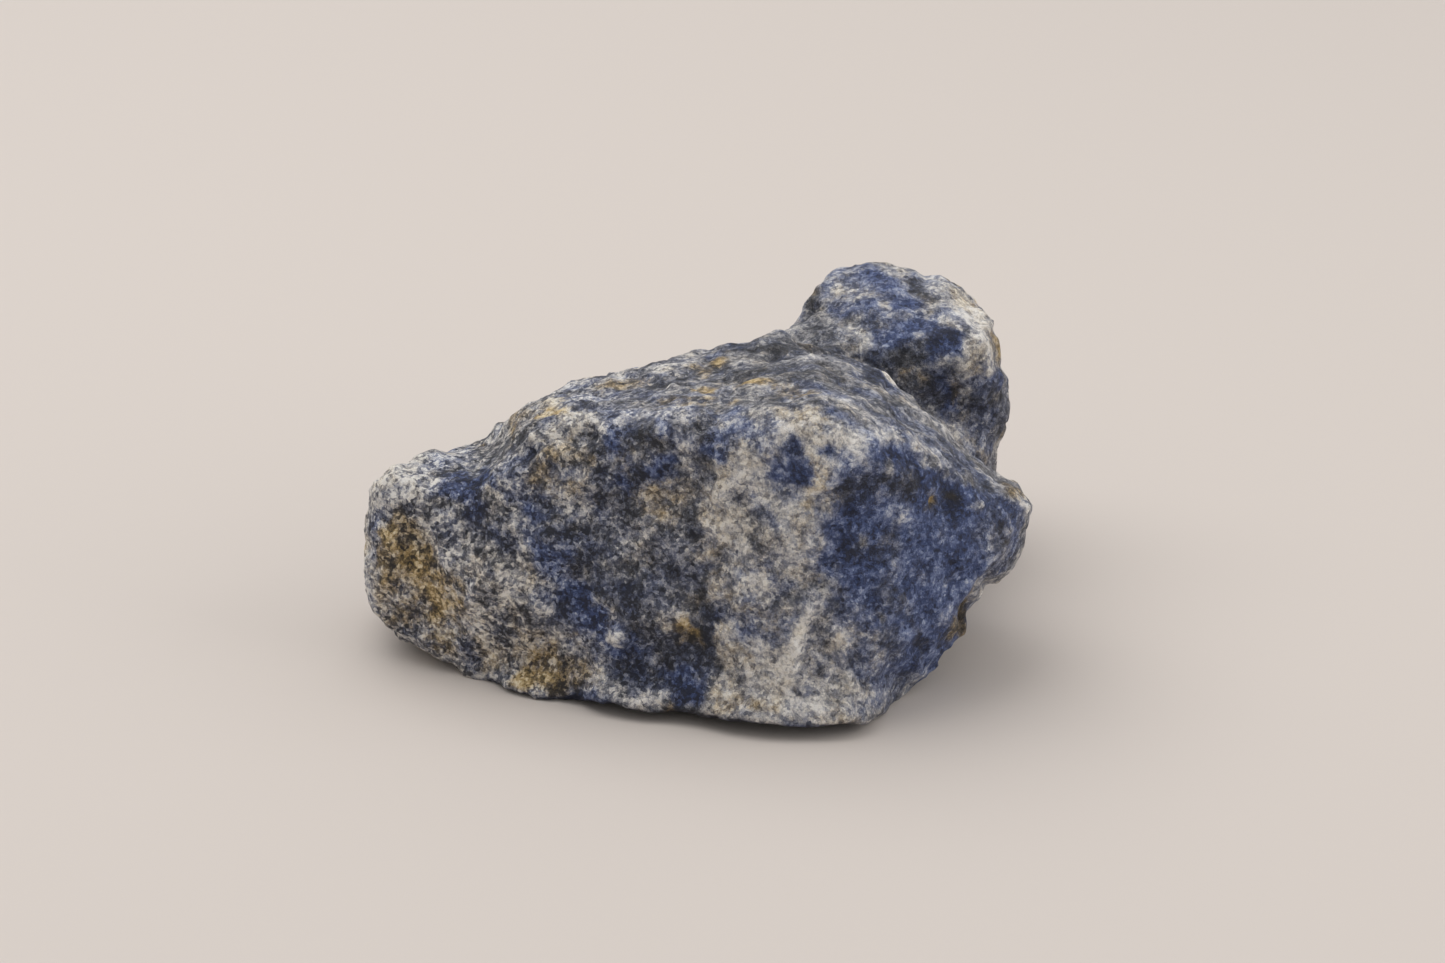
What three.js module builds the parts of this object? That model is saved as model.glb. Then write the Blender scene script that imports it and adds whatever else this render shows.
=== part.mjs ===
// Blue quartz specimen: one rough, worn lump of massive blue quartz, about 70 mm long.
//
// The stone is a single closed solid. It is described by a field that is negative inside the
// stone. The field joins four masses, each one a set of broken faces with worn edges: a blocky
// main mass, a lobe at its left end, a knob at its back right corner, and the neck between
// them. Hollows are pressed into it, then the lumps of its broken surface are added. The zero
// surface of the field is meshed on a grid, and each vertex is moved exactly onto it.
//
// Units are millimetres. +Z is up, +X is to the right and +Y to the back, seen from the
// broad front face. The origin is the middle of the footprint, on the surface it rests on.

import * as THREE from "three";

// ---- driving dimensions ----
const LOW = [-42, -4, -2]; // the box that the stone is meshed in
const HIGH = [38, 65, 40];
const CELL = 1.75; // grid step of the mesh
const LOBE_JOIN = 2; // how softly the masses run into each other
const NECK_JOIN = 4;
const KNOB_JOIN = 5;
const LUMPS = [
  // lumps of the broken surface, coarse to fine, each layer turned from the last (radians)
  { size: 12, height: 0.5, turn: 0.4 },
  { size: 5.6, height: 0.36, turn: 1.1 },
  { size: 3.4, height: 0.3, turn: 1.9 },
];
const CREASE = 0.1; // how open the creases between the lumps are

// ---- the masses ----
// A face is [azimuth, elevation, through, wear]: the way it looks in degrees, with azimuth 0
// along +X and 90 along +Y, a point that it passes through, and how wide its edges are worn.
const MAIN = [
  [-109, 9, [9, -3, 0], 3], // broad front face
  [-54, 3, [15.4, 0, 10], 7], // right front face
  [-12, -48, [21, 7, 2.8], 3], // underside, rising to the right
  [141, 83, [6, 6, 34], 4], // top
  [157, 67, [-17.5, 13, 30], 4], // slope down to the left
  [172, 28, [-23.4, 20, 25], 3], // step down to the lobe
  [190, -30, [-30, 14, 10], 4], // underside of the step
  [5, 10, [32.7, 20, 14], 4], // right end
  [7, 54, [14.2, 5, 33.9], 4], // slope down to the right
  [60, 15, [22.1, 26.7, 24.4], 2], // wall of the gap before the knob
  [119, 45, [-11, 30, 31], 4], // bevel behind the top
  [107, 10, [-10, 39, 12], 6], // back
  [150, 10, [-35, 32, 10], 6], // back left
  [80, -45, [0, 38, 4], 6], // underside at the back
];
const LOBE = [
  [-109, 9, [9, -3, 0], 3], // front, in line with the main mass
  [150, 72, [-33, 20, 21.2], 3], // top
  [180, 2, [-38.6, 20, 12.8], 4], // left end
  [186, -38, [-38, 14, 4.4], 4], // underside of the left end
  [200, -66, [-30, 12, 0.2], 4], // underside, rising to the left
  [150, 30, [-35.2, 30, 16.6], 5], // back left
  [100, 10, [-25, 37, 12], 6], // back
  [0, 0, [-16, 20, 12], 6], // inside the main mass
];
const KNOB = [
  [-95, 62, [19.6, 38, 28.6], 3], // top, looking forward
  [-80, -12, [24, 38.5, 25], 3], // front, overhanging the gap
  [180, 38, [9.6, 44, 31], 5], // left
  [60, 84, [16, 50, 33.0], 4], // crown
  [14, 50, [25, 50, 32.1], 5], // slope down to the right
  [0, -8, [32.2, 46, 20.5], 5], // right
  [90, 10, [20, 60, 20], 7], // back
  [140, 5, [9, 53, 20], 6], // back left
  [45, 5, [29, 57, 20], 6], // back right
  [-20, -60, [28, 40, 9], 6], // underside, rising to the right
  [85, -52, [20, 56, 7], 6], // underside, rising to the back
];
const NECK = [
  [-5, 62, [20, 35, 19.3], 5], // floor of the gap between the main mass and the knob
  [0, -8, [27, 36, 10], 4], // right
  [-90, 0, [0, 24, 10], 2], // inside the main mass
  [90, 0, [0, 52, 10], 2], // inside the knob
  [150, 5, [8, 46, 10], 6], // back left
  [-10, -60, [27, 36, 5], 4], // underside, rising to the right
];

// ---- hollows: [middle, radii, depth], with a swelling as a hollow below 0 deep ----
const HOLLOWS = [
  [[-33.5, 12.5, 12], [4, 4, 4.5], 1.0], // stained hollow in the left end
  [[29.5, 12.5, 7.5], [3.5, 4, 3.2], 2.0], // notch under the right end
  [[-1, 6, 32], [2.4, 2.4, 2.4], 0.9], // pit in the front ridge
  [[-15, 8.5, 29], [5, 3, 2.5], 0.9], // scoop under the ridge, at the left
  [[-27, 20, 24], [3.5, 10, 3.5], 1.0], // dip between the lobe and the slope above it
  [[-1, 25, 32], [17, 7, 5], 0.9], // trough across the top, behind the ridge
  [[-3, 0, 1], [6, 4, 4], 1.2], // worn foot of the broad face
  [[13, -1, 1], [4, 4, 4], -0.3], // swollen foot of the right front face
];

// ---- the underside: slightly rounded, and worn flat at z = 0 where it rests ----
const BELLY = { x: 2, y: 24, radius: 240, sag: 1.5, wear: 3 };
const FLAT_WEAR = 1;

const direction = (azimuth, elevation) => {
  const a = THREE.MathUtils.degToRad(azimuth);
  const e = THREE.MathUtils.degToRad(elevation);
  return new THREE.Vector3(Math.cos(e) * Math.cos(a), Math.cos(e) * Math.sin(a), Math.sin(e));
};

// The larger of two distances, with the edge where they meet worn over a width.
function worn(a, b, width) {
  const near = Math.max(width - Math.abs(a - b), 0) / width;
  return Math.max(a, b) + (near * near * width) / 4;
}

// The field of one mass: how far a point is outside the nearest of its faces.
function massField(faces) {
  const planes = faces.map(([azimuth, elevation, through, wear]) => {
    const normal = direction(azimuth, elevation);
    return { normal, wear, reach: normal.dot(new THREE.Vector3(...through)) };
  });
  return (p) =>
    planes.reduce((most, { normal, reach, wear }) => worn(most, normal.dot(p) - reach, wear), -1e3);
}

// ---- smooth noise in -1..1, from a hash of the eight grid corners around a point ----
function cornerValue(i, j, k) {
  let h = Math.imul(i, 374761393) ^ Math.imul(j, 668265263) ^ Math.imul(k, 2147483647 ^ 97531);
  h = Math.imul(h ^ (h >>> 13), 1274126177);
  h = Math.imul(h ^ (h >>> 16), 2246822519);
  return ((h ^ (h >>> 15)) >>> 0) / 2147483648 - 1;
}

const ease = (t) => t * t * t * (t * (6 * t - 15) + 10);

function noise(x, y, z) {
  const [i, j, k] = [Math.floor(x), Math.floor(y), Math.floor(z)];
  const [u, v, w] = [ease(x - i), ease(y - j), ease(z - k)];
  const mix = (a, b, t) => a + (b - a) * t;
  const row = (b, c) => mix(cornerValue(i, j + b, k + c), cornerValue(i + 1, j + b, k + c), u);
  return mix(mix(row(0, 0), row(1, 0), v), mix(row(0, 1), row(1, 1), v), w);
}

// Rounded lumps with creases between them, about -0.5 in a crease and 0.5 on a lump.
function lump(p, size, turn) {
  const q = p.clone().applyEuler(new THREE.Euler(turn, 2 * turn, 3 * turn));
  return 2 * Math.hypot(noise(q.x / size, q.y / size, q.z / size), CREASE) - 0.6;
}

const mainField = massField(MAIN);
const lobeField = massField(LOBE);
const neckField = massField(NECK);
const knobField = massField(KNOB);

function field(p) {
  let f = -worn(-mainField(p), -lobeField(p), LOBE_JOIN);
  f = -worn(-f, -neckField(p), NECK_JOIN);
  f = -worn(-f, -knobField(p), KNOB_JOIN);
  const bow = ((p.x - BELLY.x) ** 2 + (p.y - BELLY.y) ** 2) / (2 * BELLY.radius);
  f = worn(f, bow - BELLY.sag - p.z, BELLY.wear);
  for (const [[x, y, z], [a, b, c], depth] of HOLLOWS)
    f += depth * Math.exp(-(((p.x - x) / a) ** 2) - ((p.y - y) / b) ** 2 - ((p.z - z) / c) ** 2);
  for (const { size, height, turn } of LUMPS) f -= height * lump(p, size, turn);
  return worn(f, -p.z, FLAT_WEAR);
}

// ---- mesh of the zero surface: one vertex in each grid cell that it crosses ----
function surfaceNet(f, low, high, cell) {
  const n = low.map((v, i) => Math.ceil((high[i] - v) / cell) + 1);
  const at = (i, j, k) => i + n[0] * (j + n[1] * k);
  const value = new Float64Array(n[0] * n[1] * n[2]);
  const p = new THREE.Vector3();
  const eachCell = (from, visit) => {
    for (let k = from; k < n[2] - 1; k++)
      for (let j = from; j < n[1] - 1; j++)
        for (let i = from; i < n[0] - 1; i++) visit(i, j, k);
  };
  for (let k = 0; k < n[2]; k++)
    for (let j = 0; j < n[1]; j++)
      for (let i = 0; i < n[0]; i++)
        value[at(i, j, k)] = f(p.set(low[0] + i * cell, low[1] + j * cell, low[2] + k * cell));

  // Two stone points and two empty points across a grid square would pinch the surface to a
  // line between them: all four are taken as stone.
  const step = [[1, 0, 0], [0, 1, 0], [0, 0, 1]];
  let pinched = true;
  while (pinched) {
    pinched = false;
    eachCell(0, (i, j, k) => {
      for (let axis = 0; axis < 3; axis++) {
        const [u, w] = [step[(axis + 1) % 3], step[(axis + 2) % 3]];
        const square = [[0, 0], [1, 0], [1, 1], [0, 1]].map(([a, b]) =>
          at(i + a * u[0] + b * w[0], j + a * u[1] + b * w[1], k + a * u[2] + b * w[2]),
        );
        const solid = square.map((c) => value[c] < 0);
        if (solid[0] !== solid[2] || solid[1] !== solid[3] || solid[0] === solid[1]) continue;
        for (const c of square) value[c] = Math.min(value[c], -0.01 * cell);
        pinched = true;
      }
    });
  }

  const corners = [0, 1, 2, 3, 4, 5, 6, 7].map((c) => [c & 1, (c >> 1) & 1, (c >> 2) & 1]);
  const edges = [];
  for (let a = 0; a < 8; a++) for (const bit of [1, 2, 4]) if (!(a & bit)) edges.push([a, a | bit]);

  const index = new Map();
  const points = [];
  eachCell(0, (i, j, k) => {
    const v = corners.map(([a, b, c]) => value[at(i + a, j + b, k + c)]);
    const crossings = edges.filter(([a, b]) => v[a] < 0 !== v[b] < 0);
    if (!crossings.length) return;
    const middle = new THREE.Vector3();
    for (const [a, b] of crossings) {
      const t = v[a] / (v[a] - v[b]);
      middle.add(new THREE.Vector3(...corners[a]).lerp(new THREE.Vector3(...corners[b]), t));
    }
    middle.divideScalar(crossings.length).add(new THREE.Vector3(i, j, k)).multiplyScalar(cell);
    index.set(at(i, j, k), points.length);
    points.push(middle.add(new THREE.Vector3(...low)));
  });

  const quads = [];
  eachCell(1, (i, j, k) => {
    for (let axis = 0; axis < 3; axis++) {
      const [di, dj, dk] = step[axis];
      const outside = value[at(i, j, k)] >= 0;
      if (outside === value[at(i + di, j + dj, k + dk)] >= 0) continue;
      const u = step[(axis + 1) % 3];
      const w = step[(axis + 2) % 3];
      const cellBehind = (a, b) =>
        index.get(at(i - a * u[0] - b * w[0], j - a * u[1] - b * w[1], k - a * u[2] - b * w[2]));
      const ring = [cellBehind(0, 0), cellBehind(1, 0), cellBehind(1, 1), cellBehind(0, 1)];
      quads.push(outside ? ring.reverse() : ring);
    }
  });
  return { points, quads };
}

// Moves a point along the field's slope until it lies on the zero surface.
function drawOnto(f, p) {
  const h = 0.05;
  for (let pass = 0; pass < 3; pass++) {
    const here = f(p);
    const slope = new THREE.Vector3(
      f(p.clone().setX(p.x + h)) - here,
      f(p.clone().setY(p.y + h)) - here,
      f(p.clone().setZ(p.z + h)) - here,
    ).divideScalar(h);
    p.addScaledVector(slope, -here / Math.max(slope.lengthSq(), 0.2));
  }
}

// Evens out the spacing of the vertices over the surface.
function relax({ points, quads }, f, passes) {
  const neighbours = points.map(() => new Set());
  for (const q of quads)
    q.forEach((a, i) => {
      neighbours[a].add(q[(i + 1) % 4]);
      neighbours[a].add(q[(i + 3) % 4]);
    });
  for (let pass = 0; pass < passes; pass++) {
    const moved = points.map((p, i) => {
      const mean = new THREE.Vector3();
      for (const j of neighbours[i]) mean.add(points[j]);
      return mean.divideScalar(neighbours[i].size).lerp(p, 0.5);
    });
    moved.forEach((p, i) => {
      drawOnto(f, p);
      points[i].copy(p);
    });
  }
}

// Two triangles for each four-sided face, cut along its shorter diagonal.
function triangles({ points, quads }) {
  return quads.flatMap(([a, b, c, d]) =>
    points[a].distanceTo(points[c]) < points[b].distanceTo(points[d])
      ? [a, b, c, a, c, d]
      : [a, b, d, b, c, d],
  );
}

const net = surfaceNet(field, LOW, HIGH, CELL);
relax(net, field, 3);

const geometry = new THREE.BufferGeometry().setFromPoints(net.points);
geometry.setIndex(triangles(net));
geometry.computeBoundingBox();
const middle = geometry.boundingBox.getCenter(new THREE.Vector3());
geometry.translate(-middle.x, -middle.y, 0);
geometry.computeVertexNormals();

const stone = new THREE.Mesh(
  geometry,
  new THREE.MeshStandardMaterial({ color: 0x6d7690, roughness: 0.8, metalness: 0 }),
);
stone.name = "stone";
const specimen = new THREE.Group();
specimen.add(stone);
export default specimen;
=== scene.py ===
"""Dresses the blue quartz specimen: a finer stone surface with grain, pits and mineral patches."""

import itertools
import math

import bmesh
import bpy
import numpy as np
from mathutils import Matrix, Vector
from mathutils.bvhtree import BVHTree
from mathutils.kdtree import KDTree


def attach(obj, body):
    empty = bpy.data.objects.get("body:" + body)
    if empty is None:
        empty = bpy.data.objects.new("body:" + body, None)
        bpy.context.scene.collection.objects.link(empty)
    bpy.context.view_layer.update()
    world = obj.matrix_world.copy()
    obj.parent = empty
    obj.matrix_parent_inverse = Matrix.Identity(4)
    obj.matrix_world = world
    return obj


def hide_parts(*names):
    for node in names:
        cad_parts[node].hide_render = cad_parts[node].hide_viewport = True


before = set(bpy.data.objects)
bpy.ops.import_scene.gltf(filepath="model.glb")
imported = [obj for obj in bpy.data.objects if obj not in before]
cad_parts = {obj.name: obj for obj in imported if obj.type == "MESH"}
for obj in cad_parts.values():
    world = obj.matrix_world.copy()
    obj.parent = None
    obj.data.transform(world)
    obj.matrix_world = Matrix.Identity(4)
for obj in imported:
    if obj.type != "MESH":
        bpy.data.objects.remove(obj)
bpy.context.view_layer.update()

MM = 0.001
SEED = 7

# The photograph's frame and its camera, in pixels, degrees and metres except where named
PHOTO_WIDTH = 1445
PHOTO_HEIGHT = 963
FOCAL_PIXELS = 4792
SENSOR_MM = 36
CAMERA_TILT = 22.46
CAMERA_PLACE = Vector((0.0029, -0.4857, 0.2169))
CLIP_START = 0.01

# Soft light that falls from all round, weakest from the front at the horizon
LIGHT_LEAN = (0.18, 0.16, 0.9)  # where most of it comes from
LEAN_RANGE = (-0.3, 0.4)  # along this, where it is weakest and where it is strongest
WEAKEST_LIGHT = 0.04
STRONGEST_LIGHT = 0.6
SKY_COLOUR = (1.0, 0.99, 0.98, 1)

# Square lamps that face the stone: place and side in metres, and power in watts
LAMPS = {"key light": ((-0.24, 0.14, 0.62), 0.75, 2.75),
         "right fill": ((0.6, -0.15, 0.3), 0.5, 1.1)}
LAMP_COLOUR = (1.0, 0.98, 0.96)

FLOOR_SIDE = 6  # metres
FLOOR_COLOUR = (0.66, 0.605, 0.565, 1)
FLOOR_ROUGHNESS = 0.95

# The fine surface
SPLITS = 2  # times each CAD triangle is cut into four
SMOOTH_ROUNDS = 8
SMOOTH_SHARE = 0.5  # of the way to its neighbours' middle that a vertex moves in each
TOUCHING = 0.001 * MM  # vertices this close to each other, or to the floor, touch
FOOT_HEIGHT = 0.9  # mm above the floor over which the relief fades in

# The lower edge stands clear of the floor here and there, where the underside curves up to it
GAP_CHANGE = 0.2  # mm that the gap varies by
GAP_CHANGE_SIZE = 9  # mm
WIDE_GAP = 1.1  # mm more under the front
WIDE_GAP_FADE = (2.75, 8.25)  # mm from these pixels over which it fades
WIDE_GAP_PIXELS = [(542, 690), (600, 700), (700, 710), (805, 725)]
PAINTED_UNDER_SHADE = 0.6  # painted shade: how much less pale the underside is painted behind the wide gap, which keeps the gap dark
UNDER_SLOPE = (0.3, 0.9)  # how far down a face looks where this painted shade sets in and where it is full
GAP_REACH = 7.0  # mm from the edge inward to where the stone touches the floor
GAP_HEIGHT = 5.5  # mm up the side over which the lift fades
FLARE = 1.5  # mm that the edge stands out for each mm of gap
FULL_FLARE_SLOPE = 0.3  # how far sideways a face looks from which its flare is full

# A mark below is full near its middle. These are where it starts to fade and where it is gone,
# in half-widths from the middle.
MARK_FADE = (0.3, 1.7)

# Stretches of the lower edge set back and down along the line of sight, so that they lie close
# to the floor: mm, half-width in mm, and pixels
SET_BACK = [
    (3.2, 6.0, [(380, 625), (430, 657), (480, 676), (525, 690)]),
    (4.0, 4.0, [(905, 690), (930, 672), (956, 646)]),
]

# The saddle behind the top's back edge is partly filled: mm up, half-width in mm, and place in mm
SADDLE = [(0.8, 3.0, (10.5, 4.5, 29.4)), (1.5, 3.0, (13.4, 4.2, 27.2))]

# Shifts of the shape across the picture, which true up its outline: pixels right and down,
# half-width in pixels, and the pixels along the middle
SHIFTS = [
    ((-8, -2), 16, [(1032, 545), (1022, 562), (1004, 580)]),  # right end
    ((9, -2), 12, [(1012, 488), (1022, 503)]),
    ((-8, -5), 11, [(994, 596), (978, 612)]),  # notch, and the edge below it
    ((-5, -3), 10, [(956, 644), (935, 666)]),
    ((-8, 0), 12, [(1004, 336), (1007, 360)]),  # right side of the knob
    ((-3, 0), 10, [(1003, 448), (998, 458)]),
    ((-6, -4), 12, [(811, 297), (816, 288), (828, 277)]),  # left side of the knob
    ((0, -5), 14, [(846, 268), (870, 264), (905, 269)]),  # top of the knob
    ((2, -3), 10, [(938, 280), (955, 288)]),
    ((-1, -6), 15, [(500, 422), (530, 408), (562, 394), (600, 380)]),  # far edge of the top
    ((-5, -6), 12, [(376, 492), (386, 480), (396, 472)]),  # left lobe
    ((-1, -4), 9, [(420, 460), (434, 454)]),
    ((1, -4), 14, [(400, 643), (414, 650), (446, 664)]),  # lower edge
    ((0, 4), 14, [(548, 697), (572, 700)]),
    ((0, 3), 16, [(640, 712), (705, 720)]),
    ((0, -2), 12, [(748, 722), (772, 726)]),
]

# Relief over the whole stone: height in mm, size in mm
SWELL = (0.26, 5.2)
FINE_SWELLS = [(0.12, 2.4), (0.10, 1.3), (0.09, 0.8)]
COBBLES = [(0.16, 3.4), (0.14, 1.7)]  # lumps with valleys between them
COBBLE_LEVEL = 0.25  # about their mean height, as a share, which is taken off
LEDGES = [(0.24, 6.5, 2.2), (0.16, 3.0, 1.8)]  # step height, size and number of steps
LEDGE_RISE = (0.35, 0.65)  # the share of each step's width over which it rises
STREAK_HEIGHT = 0.05
STREAK_STRETCH = (0.45, 1.0, 1.0)  # the streaks run left and right
STREAK_SIZE = 0.9
STREAK_SLOPE = (0.35, 0.8)  # how far up a face looks where they set in and where they are full
PAINTED_GRAIN_SHADE = 0.35  # painted shade and highlight: how much paler the stone is painted for each mm that its grain stands up, and darker where it sinks

# How far in mm, and at what size in mm, outlines are moved about so that they look natural
LEDGE_WARP = [(0.5, 1.4)]
RELIEF_WARP = [(0.35, 1.6)]
PATCH_WARP = [(1.1, 3.4), (0.5, 1.3)]

# Contrast of the finest crystals, at these places from left to right in mm
GRAIN_CONTRAST = (1.45, 0.75)
CONTRAST_PLACES = (-34, 14)

# Dents (below zero) and lumps: height in mm, half-width in mm, and the pixels along the middle
RELIEF = [
    (-0.7, 0.5, [(935, 503)]),  # rusty pit on the blue face
    (-0.4, 0.45, [(895, 531)]),
    (-0.4, 0.45, [(917, 545)]),
    (-0.5, 0.6, [(700, 428), (710, 422)]),  # pit on the front edge of the top
    (-0.3, 0.4, [(669, 398)]),
    (0.8, 0.85, [(618, 638), (624, 638)]),  # white lump
    (-0.4, 0.5, [(604, 366), (650, 379), (690, 386)]),  # step across the top
    (-0.35, 0.5, [(690, 386), (760, 398), (838, 402)]),
    (0.4, 0.7, [(521, 440), (553, 422), (594, 418)]),  # lip over the scoop
    (-0.7, 1.0, [(508, 462), (528, 450), (556, 436), (592, 434)]),  # scoop under it
    (-0.35, 0.35, [(845, 345), (868, 365), (890, 392), (905, 402)]),  # crease behind the body
    (-1.7, 1.8, [(986, 592), (977, 604), (969, 620)]),  # notch under the right shoulder
    (-0.8, 2.4, [(355, 560), (362, 596), (374, 622)]),  # left end
    (-0.9, 1.8, [(384, 466), (394, 460)]),  # top of the left lobe
    (-0.6, 2.0, [(405, 455), (440, 444), (462, 440)]),
    (-0.8, 1.8, [(475, 433), (486, 438)]),  # where the lobe meets the body
    (-1.3, 1.6, [(786, 313), (799, 306)]),  # corner at the left foot of the knob
    (-0.5, 1.8, [(780, 356), (815, 354), (848, 357)]),  # back edge of the top
    (-0.9, 1.8, [(1008, 410), (1005, 440)]),  # right side of the knob
    (-0.5, 2.2, [(1024, 558), (1006, 580)]),  # right end
    (0.4, 2.0, [(590, 378), (640, 362), (690, 353)]),  # far edge of the top
    (-0.4, 0.8, [(846, 512), (836, 545), (820, 584)]),  # foot of the pale band's right edge
    (0.35, 0.55, [(813, 598), (800, 640), (785, 690)]),  # veins that stand proud
    (0.3, 0.45, [(836, 640), (846, 668), (855, 695)]),
    (0.35, 0.5, [(834, 503), (822, 532), (808, 566)]),
    (0.3, 0.5, [(723, 473), (716, 500), (714, 530)]),
    (0.4, 0.6, [(905, 445), (930, 459), (956, 476)]),  # upper edge of the blue face
]

# What a patch is made of: paleness, blue and rust, each about 0 to 1
NAVY = (0.08, 1.0, 0.0)
INK = (0.12, 0.4, 0.0)
DARK = (0.18, 0.1, 0.1)
COAL = (0.30, 0.15, 0.05)
BLUE = (0.34, 1.0, 0.0)
LILAC = (0.58, 0.6, 0.0)
SLATE = (0.40, 0.5, 0.0)
GREY = (0.42, 0.1, 0.1)
HAZE = (0.68, 0.4, 0.0)
PALE = (0.82, 0.1, 0.10)
CHALK = (0.98, 0.05, 0.12)
SAND = (0.64, 0.0, 0.35)
CREAM = (0.84, 0.0, 0.42)
TAN = (0.54, 0.0, 0.6)
UMBER = (0.18, 0.0, 0.8)
GOLD = (0.84, 0.0, 1.1)
OCHRE = (0.66, 0.0, 1.2)

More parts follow.
